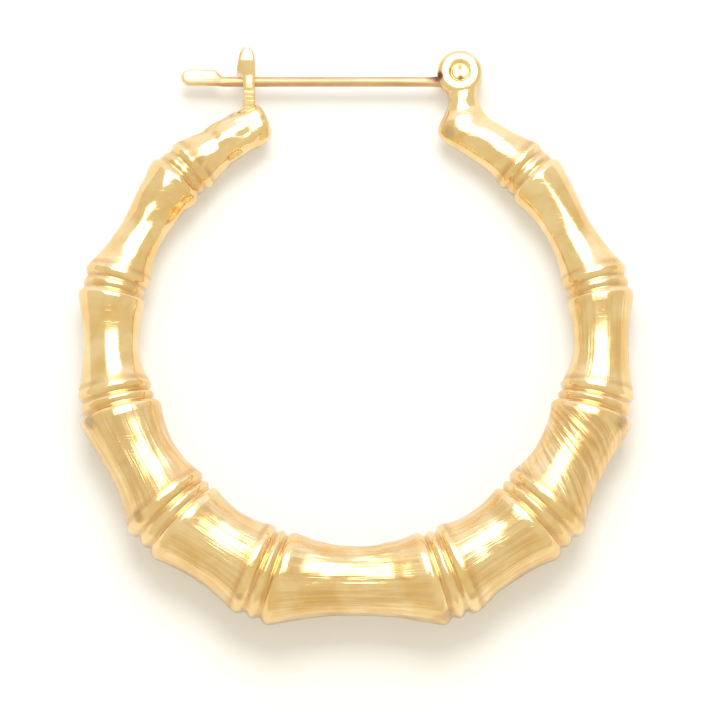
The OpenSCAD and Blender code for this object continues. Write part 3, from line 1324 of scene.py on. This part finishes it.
@dataclass
class CatchFork:
    """The catch: a slotted strip on the left end whose two leaves flare away from the post."""

    lying: Lying
    x: float = -8.05
    width: float = 0.9
    thickness: float = 0.42
    slot: float = SLOT_WIDTH
    foot: float = 17.4
    floor: float = 19.75
    inset: float = 0.03
    sink: float = 0.03
    bend: float = 20.69
    leaf_length: float = 2.05
    leaf_width: float = 1.24
    leaf_foot: float = 0.3
    blade_share: float = 0.4
    blade_turn: Point = (0.6, 1.4)
    blade_lip: float = 0.05
    bulge: float = 0.1
    bulge_from: float = -0.1
    bulge_full: float = 0.3
    bulge_fall: float = 0.5
    tip_gap: float = 0.004
    lean: float = 13.0
    belly: float = 0.2
    crown: float = 0.1
    splay: float = 0.085
    foot_share: float = 0.64
    stem_ease: float = 0.14
    leaf_ease: float = 0.09
    rows: int = 30
    columns: int = 6

    def build(self, material: Material) -> Object:
        """Builds the stem and both leaves.

        Args:
            material: The tube's gold.

        Returns:
            The finished piece.
        """
        bm = bmesh.new()
        self._leaf(bm)
        mirror(bm)
        absorb(bm, self._stem())
        face_outwards(bm)
        move(bm, (self.x, 0, 0))
        return finish_piece(bm, "catch_fork", Body.HOOP, material, self.lying)

    def _stem(self) -> Mesh:
        """The stem under the slot, narrower at its foot.

        Returns:
            The stem's mesh.
        """
        stem = bmesh.new()
        made = bmesh.ops.create_cube(stem, size=1.0)
        middle = (self.floor + self.foot) / 2
        size = (self.width, self.floor - self.foot, self.slot + 2 * self.thickness)
        bmesh.ops.scale(stem, verts=made["verts"], vec=size)
        move(stem, (0, middle, 0))
        for vert in made["verts"]:
            if vert.co.y < middle:
                vert.co.z *= self.foot_share
        bevel_edges(stem, self.stem_ease, 5, lambda e: abs(e.verts[0].co.y - e.verts[1].co.y) > 0.5)
        return stem

    def _edges_at(self, y: float) -> Point:
        """The strip's left and right edge at a height.

        Args:
            y: Height above the hoop's centre.

        Returns:
            Left and right edge.
        """
        strip = self.width / 2 - self.inset * smooth_step(self.floor, self.floor - 0.05, y)
        rise, wide = y - self.bend, self.leaf_width / 2
        middle = (self.width - self.leaf_width) / 2
        blade = self.leaf_length * self.blade_share
        upper = smooth_step(*(share * blade for share in self.blade_turn), rise)
        if rise <= blade:
            bulge = middle - wide - self.bulge
            out = smooth_step(self.bulge_from, self.bulge_full * blade, rise)
            out *= 1 - self.bulge_fall * upper
            return -strip + (bulge + strip) * out, min(strip, middle + wide)
        share = min(1.0, (rise - blade) / (self.leaf_length - blade))
        half = wide * math.sqrt(max(0.0, 1 - share * share))
        return middle - half - self.blade_lip * (1 - upper), middle + half

    def _leaf(self, bm: Mesh) -> None:
        """Adds the front strip with its leaf, bent away from the post above the slot.

        Args:
            bm: The mesh that gets it.
        """
        top, foot = self.bend + self.leaf_length, self.floor - self.leaf_foot
        lean = math.cos(math.radians(self.lean))
        bmesh.ops.create_grid(bm, x_segments=self.columns, y_segments=self.rows, size=1.0)
        for vert in bm.verts:
            share, across = (vert.co.y + 1) / 2, (vert.co.x + 1) / 2
            height = foot + (top - foot) * math.sin(share * math.pi / 2)
            left, right = self._edges_at(min(height, top - self.tip_gap))
            rise = max(0.0, height - self.bend)
            out = self.belly * math.sin(math.pi * rise / self.leaf_length)
            out += self.splay * (height - foot) - self.crown * (2 * across - 1) ** 2
            tall = min(height, self.bend) + rise * lean - self.sink
            vert.co = Vector((left + (right - left) * across, tall, self.slot / 2 + out))
        face_outwards(bm)
        made = bmesh.ops.extrude_face_region(bm, geom=bm.faces[:], use_keep_orig=True)["geom"]
        moved = [g for g in made if isinstance(g, bmesh.types.BMVert)]
        bmesh.ops.translate(bm, verts=moved, vec=(0, 0, self.thickness))
        weld(bm, 1e-4)
        face_outwards(bm)
        bevel_edges(bm, self.leaf_ease, 4, lambda e: True, sharp=60.0)


# ---- Table, light and camera ----


@dataclass(frozen=True)
class WhiteTable:
    """The plain pale table, lit a little from below, so that shadows on it stay light."""

    size: float = 2.4
    tone: Colour = (0.64, 0.64, 0.65)
    paler: Colour = (0.652, 0.652, 0.662)
    glow: float = 0.3
    glow_tone: Colour = (1.0, 0.92, 0.76)

    def build(self) -> Object:
        """Builds the table's top.

        Returns:
            The table's plane.
        """
        bm = bmesh.new()
        bmesh.ops.create_grid(bm, x_segments=1, y_segments=1, size=self.size / 2)
        mesh = hand_over(bm, "table_top")
        mesh.materials.append(self._material())
        table = put_in_scene("table_top", mesh)
        return table

    def _material(self) -> Material:
        """A matt white with the faintest mottling, which glows half as much for what it lights.

        Returns:
            The table's material.
        """
        material = bpy.data.materials.new("white_table")
        sheet = empty_sheet(material)
        place = sheet.add("ShaderNodeTexCoord").outputs["Object"]
        seen = sheet.add("ShaderNodeLightPath").outputs["Is Camera Ray"]
        inputs = {
            "Base Color": sheet.blend(sheet.noise(place, 60.0, 3.0), self.tone, self.paler),
            "Roughness": 0.7,
            "Specular IOR Level": 0.2,
            "Emission Color": self.glow_tone,
            "Emission Strength": sheet.math("MULTIPLY_ADD", seen, self.glow / 2, self.glow / 2),
        }
        sheet.principled(inputs)
        return material


@dataclass(frozen=True)
class SoftBox:
    """A flat studio light, aimed at the hoop: seen in the gold, or lighting the table, or both."""

    name: str
    toward: float
    aside: float
    distance: float
    width: float
    height: float
    radiance: float
    seen_in_gold: bool = True
    lights_table: bool = True
    tint: Colour = (1.0, 1.0, 1.0)

    def build(self) -> Object:
        """Hangs the light over the table.

        Returns:
            The light.
        """
        lean, swing = math.radians(self.toward), math.radians(self.aside)
        level = math.cos(swing)
        way = Vector((math.sin(swing), level * math.sin(lean), level * math.cos(lean)))
        data = bpy.data.lights.new(self.name, "AREA")
        data.shape = "RECTANGLE"
        data.size, data.size_y = self.width, self.height
        data.energy = self.radiance * math.pi * self.width * self.height
        data.color = self.tint
        light = put_in_scene(self.name, data)
        light.location = way * self.distance
        light.rotation_mode = "QUATERNION"
        light.rotation_quaternion = way.to_track_quat("Z", "Y")
        light.visible_camera = False
        light.visible_glossy = self.seen_in_gold
        light.visible_diffuse = self.lights_table
        return light


@dataclass(frozen=True)
class Studio:
    """The white room round the table: its walls' brightness, its lights and the camera."""

    lying: Lying
    boxes: tuple[SoftBox, ...] = (
        SoftBox("softbox_over_back", 29.0, 1.0, 0.6, 0.54, 0.48, 3.3, lights_table=False),
        SoftBox(
            "table_light",
            30.0,
            1.0,
            0.6,
            0.30,
            0.26,
            10.3,
            seen_in_gold=False,
            tint=(0.97, 0.985, 1.0),
        ),
    )
    room: Colour = (0.81, 0.775, 0.665)
    room_front: Colour = (0.81, 0.75, 0.6)
    front_from: Point = (-0.15, -0.8)
    back_wall: Colour = (1.04, 1.09, 1.28)
    back_from: Point = (0.55, 0.8)
    elevation: float = 81.8
    picture_width: float = 53.4
    picture_drop: float = 0.825
    lens: float = 800.0
    sensor: float = 36.0

    def build(self) -> None:
        """Sets the world, the lights, the camera and plain display colours."""
        self._world()
        for box in self.boxes:
            box.build()
        self._camera()
        bpy.context.scene.view_settings.view_transform = "Standard"

    def _world(self) -> None:
        """A pale warm room with a cool white wall behind the hoop."""
        world = bpy.data.worlds.new("white_room")
        sheet = empty_sheet(world)
        way = sheet.add("ShaderNodeTexCoord").outputs["Generated"]
        far = sheet.add("ShaderNodeSeparateXYZ", {0: way}).outputs[1]
        tone = self.room
        for ends, wall in ((self.front_from, self.room_front), (self.back_from, self.back_wall)):
            tone = sheet.blend(sheet.ramp(far, *ends, "SMOOTHSTEP"), tone, wall)
        sky = sheet.add("ShaderNodeBackground", {"Color": tone})
        sheet.add("ShaderNodeOutputWorld", {"Surface": sky.outputs[0]})
        bpy.context.scene.world = world

    def _camera(self) -> None:
        """Looks down at the hoop as the photograph does."""
        lean = math.radians(self.elevation)
        back = Vector((0.0, -math.cos(lean), math.sin(lean)))
        up = Vector((0.0, math.sin(lean), math.cos(lean)))
        data = bpy.data.cameras.new("photo_camera")
        data.lens, data.sensor_width = self.lens, self.sensor
        distance = self.lens / self.sensor * self.picture_width * MM
        data.clip_start, data.clip_end = distance * 0.05, distance * 60
        camera = put_in_scene("photo_camera", data)
        camera.location = self.lying.centre() - up * self.picture_drop * MM + back * distance
        camera.rotation_mode = "QUATERNION"
        camera.rotation_quaternion = back.to_track_quat("Z", "Y")
        bpy.context.scene.camera = camera


def main() -> None:
    """Builds the earring, the table and the studio."""
    logging.basicConfig(level=logging.INFO, format="%(name)s: %(message)s")
    hinge = next(j for j in frame["joints"] if j["name"] == "post_hinge")
    lying = Lying.from_hinge(hinge, (Hinge.x, Hinge.y))

    effects = GoldEffects()
    tube_gold = GoldFinish("tube_gold", grain=Grain.FROM_MAP).make(effects)
    fitting_gold = GoldFinish("fitting_gold", polish=0.12).make(effects)
    post_gold = GoldFinish(
        "wire_gold",
        bright=(0.76, 0.52, 0.3),
        deep=(0.66, 0.42, 0.22),
        polish=0.43,
        own_lines=0.5,
        line_spacing=0.16,
    ).make(effects)
    rivet_gold = GoldFinish(
        "rivet_gold",
        bright=(0.95, 0.75, 0.45),
        deep=(0.8, 0.58, 0.3),
        polish=0.38,
        patch_relief=1.6,
    ).make(effects)

    tube = BambooTube(lying).build(tube_gold)
    joinery = Hinge(lying)
    ears = joinery.build_ears(fitting_gold)
    rivet = joinery.build_rivet(rivet_gold)
    fork = CatchFork(lying).build(fitting_gold)
    post = EarPost(lying).build(post_gold)
    for piece in (tube, ears, fork):
        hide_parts("hoop")
    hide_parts("hinge_rivet")
    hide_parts("ear_post")

    WhiteTable().build()
    Studio(lying).build()


if __name__ == "__main__":
    main()
